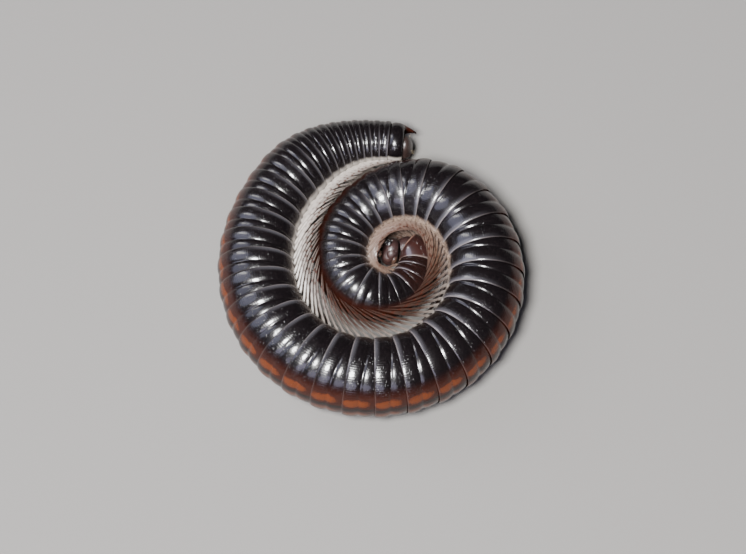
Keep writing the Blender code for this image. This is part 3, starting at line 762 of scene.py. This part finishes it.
capsule = egg("head_capsule", Vector(), HEAD_HALF, 56, 32)
pull(capsule, lambda spot: spot.y > 0.00034 and spot.x > 0.0 and abs(spot.z) < 0.00026,
     (0.00004, 0.00010, 0.0), 0.00024)
pull(capsule, lambda spot: spot.y > 0.00054 and abs(spot.z) < 0.00004, (0.0, -0.00006, 0.0), 0.00009)
for side, _ in SIDES:
    pull(capsule, lambda spot: (spot - Vector((0.00030, 0.00006, 0.00036 * side))).length < 0.00007,
         (-0.00003, 0.0, -0.00002 * side), 0.00010)
    outward = Vector((EYE_OUTWARD.x, EYE_OUTWARD.y, EYE_OUTWARD.z * side))
    trim(outward * (EYE_DEPTH + 0.00004), outward)
seat_on_head(capsule)
trim(opening + facing * HEAD_GAP, -facing)
clear_of_body()
close_up(capsule)
put_on(capsule, HEAD_CHITIN, "head")

for side, word in SIDES:
    cheek = egg(f"jaw_cheek_{word}", Vector((-0.00004, 0.00021, 0.00032 * side)),
                Vector((0.00022, 0.00025, 0.00021)), 28, 18)
    pull(cheek, lambda spot: spot.y > 0.00042, (0.00002, 0.00003, -0.00006 * side), 0.00012)
    seat_on_head(cheek)
    clear_of_body()
    close_up(cheek)
    put_on(cheek, HEAD_CHITIN, "head")

under_lip = egg("under_lip", Vector((-0.00017, 0.00025, 0.0)), Vector((0.00017, 0.00029, 0.00029)), 32, 18)
pull(under_lip, lambda spot: abs(spot.z) < 0.00002 and spot.y > 0.0004, (0.0, -0.00004, 0.0), 0.00005)
seat_on_head(under_lip)
clear_of_body()
close_up(under_lip)
put_on(under_lip, head_chitin("under_lip_chitin", "#20140F", "#3E2A21", "#46332A"), "head")

NECK_PROFILE = ((0.0, 0.00046), (0.22, 0.00045), (0.30, 0.00043), (0.38, 0.00045), (0.46, 0.00043),
                (0.56, 0.00044), (0.66, 0.00042), (0.78, 0.00040), (1.0, 0.00034))
neck = drawn_out("neck_skin", 32, NECK_PROFILE, hollow=False)
neck_spots = [opening - facing * 0.0003,
              opening + facing * 0.00005,
              opening + facing * 0.00025 + below_way * 0.00018]
lay_limb(neck, np.array(neck_spots), 1.0, 0.2)
put_on(neck, HEAD_CHITIN, "head")

# Eyes
# Each eye is a patch of some forty tiny round lenses in rows, hard and glossy black like wet pitch, set in a
# low oval swelling on the side of the head.
EYE_HALF = Vector((0.00017, 0.00020, 0.00011))
LENS_ROWS = (5, 7, 8, 8, 7, 5)
LENS_PITCH = 0.000047
LENS_ROW_SHARE = 0.88
LENS_RADIUS = 0.000026
LENS_SINK = 0.2


def lens_chitin():
    """Polished chitin with clouds of 0.1 mm, so smooth that each lens has one sharp light."""
    material, shader, place = new_finish("eye_lens_chitin")
    cloud = add(material, "TexNoise", {"Vector": place, "Scale": 9000.0, "Detail": 2.0})
    colour = add(material, "Mix", {0: cloud, 6: linear("#080607"), 7: linear("#1A1413")}, data_type="RGBA")
    fill(material, shader, {"Base Color": colour, "Roughness": 0.12, "IOR": 1.6, "Coat Weight": 1.0,
                            "Coat Roughness": 0.04})
    return material


LENS_CHITIN = lens_chitin()
for side, word in SIDES:
    outward = Vector((EYE_OUTWARD.x, EYE_OUTWARD.y, EYE_OUTWARD.z * side))
    seat = Matrix.Translation(outward * (EYE_DEPTH - 0.00001))
    eye_frame = HEAD_FRAME @ seat @ UP.rotation_difference(outward).to_matrix().to_4x4()
    patch = egg(f"eye_patch_{word}", Vector(), EYE_HALF, 24, 12)
    trim((0.0, 0.0, 0.0), (0.0, 0.0, -1.0))
    close_up(patch)
    lenses = [patch]
    for row, count in enumerate(LENS_ROWS):
        for index in range(count):
            x = (row - 0.5 * (len(LENS_ROWS) - 1)) * LENS_PITCH * LENS_ROW_SHARE
            y = (index - 0.5 * (count - 1)) * LENS_PITCH
            room = 1.0 - (x / EYE_HALF.x) ** 2 - (y / EYE_HALF.y) ** 2
            z = EYE_HALF.z * math.sqrt(max(room, 0.02)) - LENS_SINK * LENS_RADIUS
            lens = egg("lens", Vector((x, y, z)), Vector((1.0, 1.0, 0.8)) * LENS_RADIUS, 8, 6)
            bpy.ops.object.mode_set(mode="OBJECT")
            lenses.append(lens)
    bpy.ops.object.select_all(action="DESELECT")
    for lens in lenses:
        lens.select_set(True)
    bpy.context.view_layer.objects.active = patch
    bpy.ops.object.join()
    patch.data.transform(eye_frame)
    put_on(patch, LENS_CHITIN, f"eye_{word}")

# Antennae
# Seven joints of satin brown chitin that widen to a club with four tiny sense cones at its end, hinged in a
# socket beside each eye and set with short pale bristles.
ANTENNA_PATH = ((0.00040, 0.00006, 0.00036), (0.00056, 0.00010, 0.00040), (0.00053, 0.00027, 0.00047),
                (0.00044, 0.00043, 0.00050), (0.00037, 0.00060, 0.00048))
ANTENNA_SPREAD = {1.0: 1.25, -1.0: 0.97}
ANTENNA_RADIUS = 0.00011
ANTENNA_PROFILE = ((0.0, 0.50), (0.05, 0.62), (0.08, 0.42), (0.12, 0.60), (0.22, 0.74), (0.25, 0.50),
                   (0.30, 0.70), (0.40, 0.82), (0.43, 0.55), (0.48, 0.78), (0.57, 0.92), (0.60, 0.62),
                   (0.66, 0.92), (0.75, 1.04), (0.78, 0.72), (0.83, 1.00), (0.90, 0.98), (0.92, 0.70),
                   (0.95, 0.66), (0.975, 0.48), (1.0, 0.06))
HAIR_LENGTH = 0.00007
HAIR_LENGTHS = (0.7, 1.1)
HAIR_RADIUS = 0.000004
HAIR_SHARE = 0.16
HAIR_LEAN = 0.6
HAIR_ROOT = 0.45
SENSE_CONES = 4
SENSE_CONE_LENGTH = 0.00003
SENSE_CONE_RING = 0.00003


def bristle_horn():
    """Clear horn of the bristles, pale where the light catches them, with clouds of 0.05 mm."""
    material, shader, place = new_finish("bristle_horn")
    cloud = add(material, "TexNoise", {"Vector": place, "Scale": 20000.0, "Detail": 2.0})
    colour = add(material, "Mix", {0: cloud, 6: linear("#A08A70"), 7: linear("#D6C6A8")}, data_type="RGBA")
    fill(material, shader, {"Base Color": colour, "Roughness": 0.35})
    return material


BRISTLE_HORN = bristle_horn()


def set_bristles(name, roots, node):
    """Plant one fine bristle on each root spot along its way out, all in one piece."""
    hairs = []
    for spot, way, length in roots:
        bpy.ops.object.select_all(action="DESELECT")
        bpy.ops.mesh.primitive_cone_add(vertices=4, radius1=HAIR_RADIUS, radius2=0.3 * HAIR_RADIUS,
                                        depth=length, location=spot + way * HAIR_ROOT * length,
                                        rotation=way.to_track_quat("Z", "Y").to_euler())
        hairs.append(bpy.context.object)
    for hair in hairs:
        hair.select_set(True)
    bpy.ops.object.join()
    tuft = bpy.context.object
    tuft.name = name
    tuft.data.name = name
    bpy.ops.object.transform_apply(location=True, rotation=True, scale=True)
    put_on(tuft, BRISTLE_HORN, node)


FEELER_CHITIN = head_chitin("feeler_chitin", "#2A1814", "#4A3228", "#4E362C")
hair_chance = random.Random(5)
feeler = drawn_out("feeler", 14, ANTENNA_PROFILE, hollow=False)
for side, word in SIDES:
    spread = side * ANTENNA_SPREAD[side]
    spots = np.array([HEAD_FRAME @ Vector((x, y, z * spread)) for x, y, z in ANTENNA_PATH])
    piece = copy_of(feeler, f"feeler_{word}")
    lay_limb(piece, spots, ANTENNA_RADIUS, 0.5)
    put_on(piece, FEELER_CHITIN, f"antenna_{word}")
    tip = Vector(spots[-1])
    run = (tip - Vector(spots[-2])).normalized()
    roots = []
    for corner in piece.data.vertices:
        if hair_chance.random() < HAIR_SHARE:
            way = (corner.normal + HAIR_LEAN * run).normalized()
            roots.append((corner.co.copy(), way, HAIR_LENGTH * hair_chance.uniform(*HAIR_LENGTHS)))
    across = run.cross(UP).normalized()
    for index in range(SENSE_CONES):
        turn = math.radians(45.0 + 90.0 * index)
        rim = SENSE_CONE_RING * (across * math.cos(turn) + across.cross(run) * math.sin(turn))
        roots.append((tip + rim, run, SENSE_CONE_LENGTH))
    set_bristles(f"feeler_bristles_{word}", roots, f"antenna_{word}")
bpy.data.objects.remove(feeler)

# Tail
# The last ring is drawn out on the back into a short clear spine. It carries two hinged lips that close the
# tail, each with a swollen rim and a few bristles, and one small scale under them.
TAIL_SIDES = 72
TAIL_PROFILE = ((-0.00012, 0.86), (0.0, 0.905), (0.00006, 0.94), (0.00013, 0.965), (0.00021, 0.972),
                (0.00030, 0.965), (0.00038, 0.945), (0.00045, 0.91), (0.00051, 0.86), (0.00054, 0.80),
                (0.00053, 0.74), (0.00046, 0.66))
TAIL_START = 0.00005
SPINE_REACH = 0.00048
SPINE_TURN = math.radians(5.0)
SPINE_HALF_TURN = math.radians(34.0)
SPINE_SHARPNESS = 1.6
SPINE_NARROWING = 0.22
SPINE_SKIN_SHARE = 0.7
SPINE_PLACES = (0.00015, 0.00054)
TAIL_MAP_LENGTH = 0.006
TAIL_MAP_START = -0.30
VALVE_HALF = Vector((0.00030, 0.00046, 0.00062))
VALVE_BEHIND = 0.00066
VALVE_ABOVE = -0.00010
VALVE_HAIR_LENGTH = 0.00016
VALVE_HAIR_EVERY = 9
tail_radius = radius_at(0.5 * (RINGS[-1][0] + RINGS[-1][1]))
tail_point, tail_way, tail_back = frame_at(BODY_LENGTH)
tail_axis = tail_point + UP * tail_radius

last_ring = drawn_out("preanal_ring", TAIL_SIDES, TAIL_PROFILE, hollow=False)
last_places = [corner.co.copy() for corner in last_ring.data.vertices]
last_measures = []
for corner, own in zip(last_ring.data.vertices, last_places):
    turn = math.atan2(own.z, own.y)
    share = math.hypot(own.y, own.z)
    off = abs((turn - SPINE_TURN + math.pi) % (2.0 * math.pi) - math.pi) / SPINE_HALF_TURN
    drawn = 0.0
    if share > SPINE_SKIN_SHARE:
        place = max(0.0, (own.x - SPINE_PLACES[0]) / (SPINE_PLACES[1] - SPINE_PLACES[0]))
        drawn = max(0.0, 1.0 - off) ** SPINE_SHARPNESS * place
    reach = tail_radius * girth(turn) * share * (1.0 - SPINE_NARROWING * drawn)
    spot = tail_axis + tail_way * (TAIL_START + own.x + SPINE_REACH * drawn)
    corner.co = spot + tail_back * reach * math.cos(turn) + UP * reach * math.sin(turn)
    around = (turn - ROLL) / (2.0 * math.pi)
    last_measures.append((around - round(around), own.x / TAIL_MAP_LENGTH + TAIL_MAP_START))
keep_map(last_ring, last_measures)
put_on(last_ring, RING_CUTICLE, "telson")

TAIL_FRAME = Matrix((tail_way, tail_back, UP)).transposed().to_4x4()
TAIL_FRAME.translation = tail_axis + tail_way * VALVE_BEHIND + tail_back * VALVE_ABOVE
VALVE_CHITIN = head_chitin("valve_chitin", "#15100F", "#2E211D", "#2E211D")
for side, word in SIDES:
    valve = egg(f"tail_lip_{word}", Vector(), VALVE_HALF, 36, 24)
    trim((-0.00006, 0.0, 0.0), (-1.0, 0.0, 0.0))
    trim((0.0, 0.0, 0.00002 * side), (0.0, 0.0, -side))
    pull(valve, lambda spot: abs(spot.z) < 0.00003 and spot.x > 0.00010, (0.00003, 0.0, 0.0), 0.00007)
    close_up(valve)
    rim = [corner for corner in valve.data.vertices
           if 0.00004 < abs(corner.co.z) < 0.00016 and corner.co.x > 0.0001]
    roots = [(TAIL_FRAME @ corner.co, (TAIL_FRAME.to_3x3() @ corner.normal).normalized(),
              VALVE_HAIR_LENGTH) for corner in rim[::VALVE_HAIR_EVERY]]
    valve.data.transform(TAIL_FRAME)
    put_on(valve, VALVE_CHITIN, f"anal_valve_{word}")
    set_bristles(f"tail_bristles_{word}", roots, f"anal_valve_{word}")

scale = egg("tail_scale", Vector((-0.00012, -0.00046, 0.0)), Vector((0.00016, 0.00007, 0.00024)), 24, 12)
pull(scale, lambda spot: spot.x > 0.00001 and abs(spot.z) < 0.00006, (0.00006, 0.0, 0.0), 0.00012)
close_up(scale)
scale.data.transform(TAIL_FRAME)
put_on(scale, VALVE_CHITIN, "telson")

# Studio and camera
# A plain pale floor under soft light, seen from the photo's angle: steeply from above, through a long lens.
CAMERA_ELEVATION = math.radians(66.0)
CAMERA_DISTANCE = 0.18
FRAME_WIDTH = 0.0302
SENSOR_WIDTH = 36.0
AIM = Vector((0.00007, 0.00010, 0.0))
FLOOR_WIDTH = 1.2

bpy.ops.object.select_all(action="DESELECT")
bpy.ops.mesh.primitive_plane_add(size=FLOOR_WIDTH)
floor = bpy.context.object
floor.name = "floor"
board = bpy.data.materials.new("pale_matt_board")
board.use_nodes = True
fill(board, board.node_tree.nodes["Principled BSDF"], {"Base Color": linear("#64625F"), "Roughness": 0.85})
floor.data.materials.append(board)

camera_data = bpy.data.cameras.new("camera")
camera_data.sensor_width = SENSOR_WIDTH
camera_data.lens = SENSOR_WIDTH * CAMERA_DISTANCE / FRAME_WIDTH
camera_data.clip_start = 0.002
camera_data.clip_end = 5.0
camera = bpy.data.objects.new("camera", camera_data)
bpy.context.scene.collection.objects.link(camera)
towards_camera = Vector((0.0, -math.cos(CAMERA_ELEVATION), math.sin(CAMERA_ELEVATION)))
camera.location = AIM + towards_camera * CAMERA_DISTANCE
camera.rotation_euler = (0.5 * math.pi - CAMERA_ELEVATION, 0.0, 0.0)
bpy.context.scene.camera = camera


def lamp(name, azimuth, elevation, distance, size, power, colour):
    """A soft light of a width and a height that looks at the middle of the coil."""
    data = bpy.data.lights.new(name, "AREA")
    data.shape = "ELLIPSE"
    data.size, data.size_y = size
    data.energy = power
    data.color = linear(colour)[:3]
    light = bpy.data.objects.new(name, data)
    bpy.context.scene.collection.objects.link(light)
    azimuth = math.radians(azimuth)
    elevation = math.radians(elevation)
    way = Vector((math.sin(azimuth) * math.cos(elevation), -math.cos(azimuth) * math.cos(elevation),
                  math.sin(elevation)))
    light.location = way * distance
    light.rotation_euler = way.to_track_quat("Z", "Y").to_euler()


lamp("key", -27.0, 66.0, 0.16, (0.046, 0.046), 1.3, "#FFFFFF")
lamp("sky", -102.0, 38.0, 0.25, (0.22, 0.24), 0.52, "#D6DAFA")
lamp("front", -12.0, 34.0, 0.25, (0.24, 0.09), 0.34, "#DEDAFA")
lamp("window", -121.0, 36.0, 0.25, (0.040, 0.12), 0.16, "#FAF6EC")

world = bpy.data.worlds.new("studio")
world.use_nodes = True
world.node_tree.nodes["Background"].inputs["Color"].default_value = linear("#E8EAF0")
world.node_tree.nodes["Background"].inputs["Strength"].default_value = 0.05
bpy.context.scene.world = world
